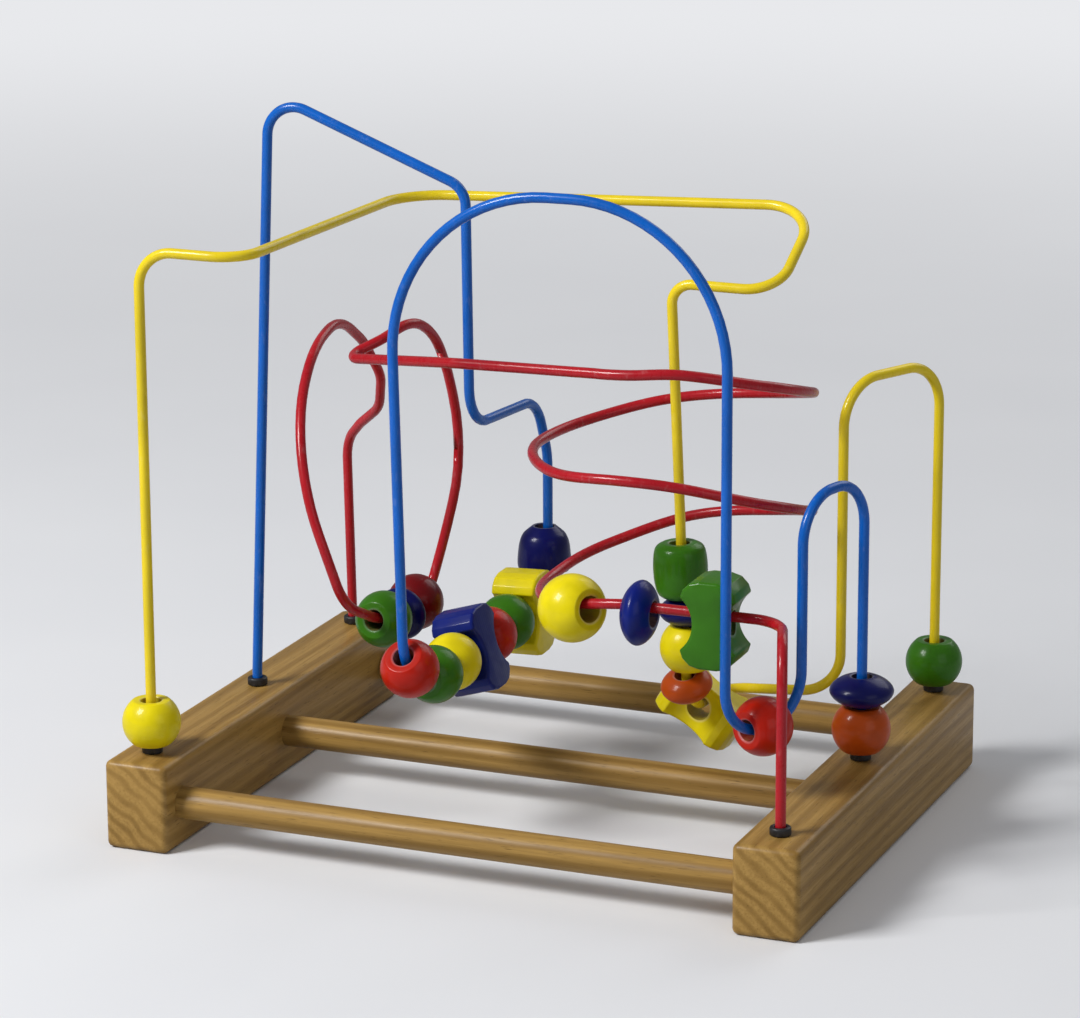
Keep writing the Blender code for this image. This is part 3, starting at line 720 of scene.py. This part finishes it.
def ball_outline(diameter, length, bore):
    """A ball cut off flat at both ends of its bore."""
    radius = diameter / 2
    half = length / 2
    top = math.asin(half / radius)
    side = []
    for k in range(side_steps + 1):
        angle = top * (1 - 2 * k / side_steps)
        side.append((radius * math.cos(angle), radius * math.sin(angle)))
    points = side + [(bore / 2, -half), (bore / 2, half)]
    radii = [face_round] + [0] * (len(side) - 2) + [face_round, mouth_round, mouth_round]
    return rounded(points, radii)


def lens_outline(diameter, length, bore, rim=lens_rim, share=lens_share):
    """Two bulging faces that meet at a rim."""
    radius = diameter / 2 * share
    half = length / 2 * share
    top = math.acos((bore / 2 + mouth_round) / radius)
    side = []
    for k in range(side_steps + 1):
        angle = top * (1 - 2 * k / side_steps)
        rise = math.copysign(abs(math.sin(angle) / math.sin(top)) ** rim, angle)
        side.append((radius * math.cos(angle), half * rise))
    return side + [(bore / 2, -half + mouth_round / 2), (bore / 2, half - mouth_round / 2)]


def shaped_outline(diameter, length, bore, shares):
    """A smooth side through a table of shares, with round edges."""
    side = smooth_line([(r * diameter / 2, z * length - length / 2) for r, z in shares])
    points = side + [(bore / 2, -length / 2), (bore / 2, length / 2)]
    radii = [mouth_round] + [0] * (len(side) - 2) + [mouth_round] * 3
    return rounded(points, radii)


def lathe(name, outline, inner):
    """Turn a closed outline of radii and heights; faces within the inner radius take the second material."""
    shape = bmesh.new()
    rings = []
    for k in range(turned_steps):
        angle = 2 * math.pi * k / turned_steps
        rings.append([shape.verts.new((r * math.cos(angle), r * math.sin(angle), z)) for r, z in outline])
    count = len(outline)
    for k in range(turned_steps):
        a, b = rings[k], rings[(k + 1) % turned_steps]
        for i in range(count):
            j = (i + 1) % count
            face = shape.faces.new((a[i], a[j], b[j], b[i]))
            face.smooth = True
            if max(outline[i][0], outline[j][0]) < inner:
                face.material_index = 1
    bmesh.ops.recalc_face_normals(shape, faces=shape.faces)
    mesh = mesh_of(shape, name)
    mesh.set_sharp_from_angle(angle=turned_crease)
    return mesh


def drilled(node, mesh, middle, places, radius, depth, steps):
    """The mesh, lying at its middle, with an upright round hole drilled at each place."""
    body = put(node + "_body", mesh)
    body.location = middle
    drills = []
    for place in places:
        shape = bmesh.new()
        bmesh.ops.create_cone(shape, cap_ends=True, segments=steps, radius1=radius, radius2=radius,
                              depth=depth)
        drill = put(node + "_drill", mesh_of(shape, node + "_drill"))
        drill.location = place
        cutting = body.modifiers.new("hole", "BOOLEAN")
        cutting.operation = "DIFFERENCE"
        cutting.solver = "EXACT"
        cutting.object = drill
        drills.append(drill)
    done = bpy.data.meshes.new_from_object(body.evaluated_get(bpy.context.evaluated_depsgraph_get()))
    for old in [body] + drills:
        bpy.data.objects.remove(old, do_unlink=True)
    done.name = node + "_piece"
    done.materials.clear()
    return done


def block_face(along):
    """Half the block's length at a distance from its bore: a round hollow between two lobes."""
    lobe = block_span / 2 * lobe_share
    depth = (block_length - block_waist) / 2
    radius = (lobe * lobe + depth * depth) / (2 * depth)
    if abs(along) >= lobe:
        return block_length / 2
    return block_waist / 2 + radius - math.sqrt(radius * radius - along * along)


def block_outline():
    """Both flanks of a waisted block: three facets round each lobe, and a hollow between the lobes."""
    half_span = block_span / 2
    side = half_span - block_corner_radius
    lobe = half_span * lobe_share
    points, radii = [], []
    for sign in (1, -1):
        flank = []
        for k in range(corner_steps):
            angle = math.pi / 2 * k / corner_steps
            across = block_length / 2 - block_corner_radius * (1 - math.sin(angle))
            flank.append((-side - block_corner_radius * math.cos(angle), across, facet_round))
        for k in range(lobe_steps + 1):
            along = lobe * (2 * k / lobe_steps - 1)
            flank.append((along, block_face(along), lip_round if k in (0, lobe_steps) else 0))
        for k in range(1, corner_steps + 1):
            angle = math.pi / 2 * (1 - k / corner_steps)
            across = block_length / 2 - block_corner_radius * (1 - math.sin(angle))
            flank.append((side + block_corner_radius * math.cos(angle), across, facet_round))
        points += [(sign * along, sign * across) for along, across, _ in flank]
        radii += [radius for _, _, radius in flank]
    return rounded(points, radii, facet_steps)


def block_mesh(node):
    """Waisted block: hollow flanks and faceted lobes, with rounded rims and a bore through the waist."""
    outline = block_outline()
    curve = bpy.data.curves.new(node + "_outline", "CURVE")
    curve.dimensions = "2D"
    curve.fill_mode = "BOTH"
    curve.extrude = block_thickness / 2 - block_edge_radius
    curve.bevel_depth = block_edge_radius
    curve.bevel_resolution = block_edge_steps
    curve.offset = -block_edge_radius
    line = curve.splines.new("POLY")
    line.points.add(len(outline) - 1)
    for spot, (along, across) in zip(line.points, outline):
        spot.co = (along, across, 0, 1)
    line.use_cyclic_u = True
    flat = put(node + "_flat", curve)
    mesh = bpy.data.meshes.new_from_object(flat.evaluated_get(bpy.context.evaluated_depsgraph_get()))
    bpy.data.objects.remove(flat, do_unlink=True)
    shape = bmesh.new()
    shape.from_mesh(mesh)
    bmesh.ops.remove_doubles(shape, verts=shape.verts, dist=weld_distance)
    bmesh.ops.transform(shape, matrix=Matrix.Rotation(math.pi / 2, 4, "X"), verts=shape.verts)
    bmesh.ops.recalc_face_normals(shape, faces=shape.faces)
    solid = mesh_of(shape, node + "_solid")
    bore = block_bore_diameter / 2
    done = drilled(node, solid, (0, 0, 0), [(0, 0, 0)], bore, block_length * 2, turned_steps)
    for face in done.polygons:
        face.use_smooth = True
        spots = [done.vertices[v].co for v in face.vertices]
        in_bore = max(math.hypot(s.x, s.y) for s in spots) < bore + bore_margin
        face.material_index = 1 if in_bore else 0
    done.set_sharp_from_angle(angle=block_crease)
    return done


def lie(node, route, length, is_block):
    """Where a bead's CAD solid lies: its middle, its wire's direction there, and a block's long side."""
    low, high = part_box(node)
    middle = (low + high) / 2
    spot = route.nearest(middle)
    axis = (route.at(spot + length / 2) - route.at(spot - length / 2)).normalized()
    side = Vector((1, 0, 0)) if abs(axis.x) < side_limit else Vector((0, 1, 0))
    if is_block:
        places = np.array([v.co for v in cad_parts[node].data.vertices], float) - np.array(middle)
        along = np.array(axis)
        places -= np.outer(places @ along, along)
        _, directions = np.linalg.eigh(places.T @ places)
        side = Vector(directions[:, -1])
    side = (side - axis * side.dot(axis)).normalized()
    turn = Matrix((side, axis.cross(side), axis)).transposed()
    return Matrix.Translation(middle) @ turn.to_4x4()


# Outline, diameter, length and bore of each turned kind, then what else its outline needs
turned_kinds = {
    "ball": (ball_outline, ball_diameter, ball_length, bore_diameter),
    "large": (ball_outline, large_ball_diameter, large_ball_length, large_bore_diameter),
    "disc": (lens_outline, disc_diameter, disc_length, bore_diameter),
    "arm disc": (lens_outline, disc_diameter, disc_length, large_bore_diameter),
    "low disc": (lens_outline, low_disc_diameter, low_disc_length, bore_diameter),
    "post disc": (lens_outline, ball_diameter, post_disc_length, bore_diameter),
    "flat ball": (lens_outline, flat_ball_diameter, flat_ball_length, bore_diameter, flat_ball_rim,
                  flat_ball_share),
    "bell": (shaped_outline, bell_diameter, bell_length, bore_diameter, bell_shares),
    "barrel": (shaped_outline, barrel_diameter, barrel_length, bore_diameter, barrel_shares),
}

# Name, kind, colour and wire of every bead
beads = [
    ("ball_red_bend", "ball", "red", blue),
    ("ball_green_row_front", "ball", "green", blue),
    ("ball_yellow_row", "ball", "yellow", blue),
    ("block_blue_row", "block", "blue", blue),
    ("ball_red_row", "ball", "red", blue),
    ("ball_green_row_back", "ball", "green", blue),
    ("block_yellow_row", "block", "yellow", blue),
    ("bell_navy", "bell", "navy", blue),
    ("ball_red_low", "ball", "dark_red", red),
    ("disc_navy_low", "low disc", "navy", red),
    ("ball_green_low", "ball", "green", red),
    ("ball_yellow_large", "large", "yellow", red),
    ("disc_blue_arm", "arm disc", "blue", red),
    ("block_green_arm", "block", "green", red),
    ("ball_yellow_post", "ball", "yellow", yellow),
    ("disc_navy_post", "post disc", "navy", yellow),
    ("barrel_green_post", "barrel", "green", yellow),
    ("disc_orange_post", "flat ball", "orange", yellow),
    ("block_yellow_post", "block", "yellow", yellow),
    ("ball_yellow_foot", "ball", "yellow", yellow),
    ("ball_green_foot", "ball", "green", yellow),
    ("ball_orange_foot", "ball", "orange", blue),
    ("disc_navy_foot", "disc", "navy", blue),
    ("ball_red_low_bend", "ball", "red", blue),
]
for seed, (node, kind, colour, route) in enumerate(beads, 1):
    if kind == "block":
        mesh, length, bore = block_mesh(node), block_waist, block_bore_diameter
    else:
        outline, diameter, length, bore, *details = turned_kinds[kind]
        mesh = lathe(node + "_piece", outline(diameter, length, bore, *details), bore / 2 + bore_margin)
    mesh.materials.append(painted(node + "_paint", paints[colour], seed, bore))
    mesh.materials.append(bore_wood(node + "_bore", paints[colour], seed))
    place = lie(node, route, length, kind == "block")
    # The upper end of a bell or barrel stays up where its wire runs down
    if kind in ("bell", "barrel") and place.to_3x3().col[2].z < 0:
        place = place @ Matrix.Rotation(math.pi, 4, "X")
    piece(node, mesh, place, node)

# Wires
for seed, (name, route) in enumerate((("blue", blue), ("red", red), ("yellow", yellow)), 1):
    curve = bpy.data.curves.new("wire_" + name + "_piece", "CURVE")
    curve.dimensions = "3D"
    curve.bevel_depth = wire_diameter / 2
    curve.bevel_resolution = wire_bevel_steps
    curve.use_fill_caps = True
    line = curve.splines.new("POLY")
    line.points.add(len(route.points) - 1)
    for spot, place in zip(line.points, route.points):
        spot.co = (*place, 1)
    line.use_smooth = True
    curve.materials.append(enamelled("wire_" + name + "_paint", wire_paints[name], seed))
    piece("wire_" + name, curve, Matrix(), "frame")

# Caps round the wires' feet
cap_feet = [
    ("blue_left", -foot_x, 0),
    ("blue_right", foot_x, 0),
    ("red_left", -foot_x, foot_y),
    ("red_right", foot_x, -foot_y),
    ("yellow_left", -foot_x, -foot_y),
    ("yellow_right", foot_x, foot_y),
]
cap_skin = soft_black("cap_plastic")
cap_radius = cap_diameter / 2
cap_corners = [
    (cap_radius, cap_height),
    (cap_radius, 0),
    (wire_hole_radius, 0),
    (wire_hole_radius, cap_height),
]
cap_outline = rounded(cap_corners, [cap_round, cap_round / 4, 0, cap_round / 3])
for name, x, y in cap_feet:
    mesh = lathe("cap_" + name + "_piece", cap_outline, 0)
    mesh.materials.append(cap_skin)
    piece("cap_" + name, mesh, Matrix.Translation((x, y, board_height + seat_gap)), "frame")

# Rails: round dowels whose ends go into the boards
for seed, name in enumerate(("front", "middle", "back"), 1):
    low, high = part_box("rail_" + name)
    half = (high.x - low.x) / 2
    radius = rail_diameter / 2
    outline = [(radius - rail_edge, half), (radius, half - rail_edge), (radius, -half + rail_edge),
               (radius - rail_edge, -half)]
    shape = bmesh.new()
    rings = []
    for k in range(turned_steps):
        angle = 2 * math.pi * k / turned_steps
        rings.append([shape.verts.new((x, r * math.cos(angle), r * math.sin(angle))) for r, x in outline])
    for k in range(turned_steps):
        a, b = rings[k], rings[(k + 1) % turned_steps]
        for i in range(len(a) - 1):
            shape.faces.new((a[i], a[i + 1], b[i + 1], b[i])).smooth = True
    shape.faces.new([ring[0] for ring in rings])
    shape.faces.new([ring[-1] for ring in reversed(rings)])
    bmesh.ops.recalc_face_normals(shape, faces=shape.faces)
    mesh = mesh_of(shape, "rail_" + name + "_piece")
    mesh.set_sharp_from_angle(angle=rail_crease)
    mesh.materials.append(lacquered("rail_" + name + "_wood", 0, seed * rail_seed_step))
    piece("rail_" + name, mesh, Matrix.Translation((low + high) / 2), "frame")

# End boards with eased edges, drilled for the wires' feet
for seed, (name, foot) in enumerate((("left", -foot_x), ("right", foot_x)), 5):
    low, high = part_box("board_" + name)
    middle = (low + high) / 2
    shape = bmesh.new()
    bmesh.ops.create_cube(shape, size=1.0)
    bmesh.ops.scale(shape, vec=high - low, verts=shape.verts)
    bmesh.ops.bevel(shape, geom=shape.edges[:], offset=board_edge_radius, segments=board_edge_steps,
                    profile=0.5, affect="EDGES", clamp_overlap=True)
    for face in shape.faces:
        face.smooth = True
    block = mesh_of(shape, "board_" + name + "_block")
    holes = [(foot, y, board_height) for y in (-foot_y, 0, foot_y)]
    mesh = drilled("board_" + name, block, middle, holes, wire_hole_radius, wire_hole_depth * 2, hole_steps)
    mesh.set_sharp_from_angle(angle=board_crease)
    mesh.materials.append(lacquered("board_" + name + "_wood", 1, seed * board_seed_step))
    piece("board_" + name, mesh, Matrix.Translation(middle), "frame")

# Floor
shape = bmesh.new()
bmesh.ops.create_grid(shape, x_segments=2, y_segments=2, size=floor_size / 2)
floor = put("floor", mesh_of(shape, "floor"))
paper = Surface("floor_paper")
seen = paper.add("ShaderNodeLightPath").outputs["Is Camera Ray"]
mottle = paper.blend(paper.noise(paper.place(), 6), tone(230, 231, 234), tone(238, 239, 241))
paper.plug(paper.blend(seen, tone(196, 197, 201), mottle), paper.shader.inputs["Base Color"])
paper.shader.inputs["Roughness"].default_value = 0.85
far = paper.spread(paper.from_axis(paper.place()), floor_near, floor_far, smooth=True)
haze = paper.add("ShaderNodeEmission")
haze.inputs["Color"].default_value = backdrop
fading = paper.add("ShaderNodeMixShader")
paper.plug(paper.multiply(far, seen), fading.inputs[0])
paper.plug(paper.shader.outputs["BSDF"], fading.inputs[1])
paper.plug(haze.outputs["Emission"], fading.inputs[2])
paper.plug(fading.outputs["Shader"], paper.tree.nodes["Material Output"].inputs["Surface"])
floor.data.materials.append(paper.material)

# World, whose backdrop only the camera sees
world = bpy.data.worlds.new("studio")
world.use_nodes = True
bpy.context.scene.world = world
nodes, links = world.node_tree.nodes, world.node_tree.links
sky = nodes["Background"]
sky.inputs["Color"].default_value = tone(236, 238, 243)
sky.inputs["Strength"].default_value = sky_strength
bright = nodes.new("ShaderNodeBackground")
bright.inputs["Color"].default_value = backdrop
mixing = nodes.new("ShaderNodeMixShader")
links.new(nodes.new("ShaderNodeLightPath").outputs["Is Camera Ray"], mixing.inputs[0])
links.new(sky.outputs["Background"], mixing.inputs[1])
links.new(bright.outputs["Background"], mixing.inputs[2])
links.new(mixing.outputs["Shader"], nodes["World Output"].inputs["Surface"])

# Lamps, all turned to the toy's middle
middle = Vector((0, 0, maze_height / 2))
for name, place, size, power, colour in lamps:
    light = bpy.data.lights.new(name, "AREA")
    light.shape = "SQUARE"
    light.size = size
    light.energy = power
    light.color = colour
    lamp = put(name, light)
    lamp.location = place
    lamp.rotation_mode = "QUATERNION"
    lamp.rotation_quaternion = (middle - Vector(place)).to_track_quat("-Z", "Y")

# Camera at the photograph's viewing angle
camera_data = bpy.data.cameras.new("camera")
camera_data.sensor_width = camera_sensor
camera_data.lens = camera_lens
camera = put("camera", camera_data)
camera.location = camera_place
turn = (Matrix.Rotation(math.radians(camera_azimuth), 4, "Z")
        @ Matrix.Rotation(math.pi / 2 - math.radians(camera_elevation), 4, "X")
        @ Matrix.Rotation(math.radians(camera_roll), 4, "Z"))
camera.rotation_euler = turn.to_euler()
bpy.context.scene.camera = camera
bpy.context.scene.view_settings.view_transform = "Standard"

bpy.context.view_layer.update()
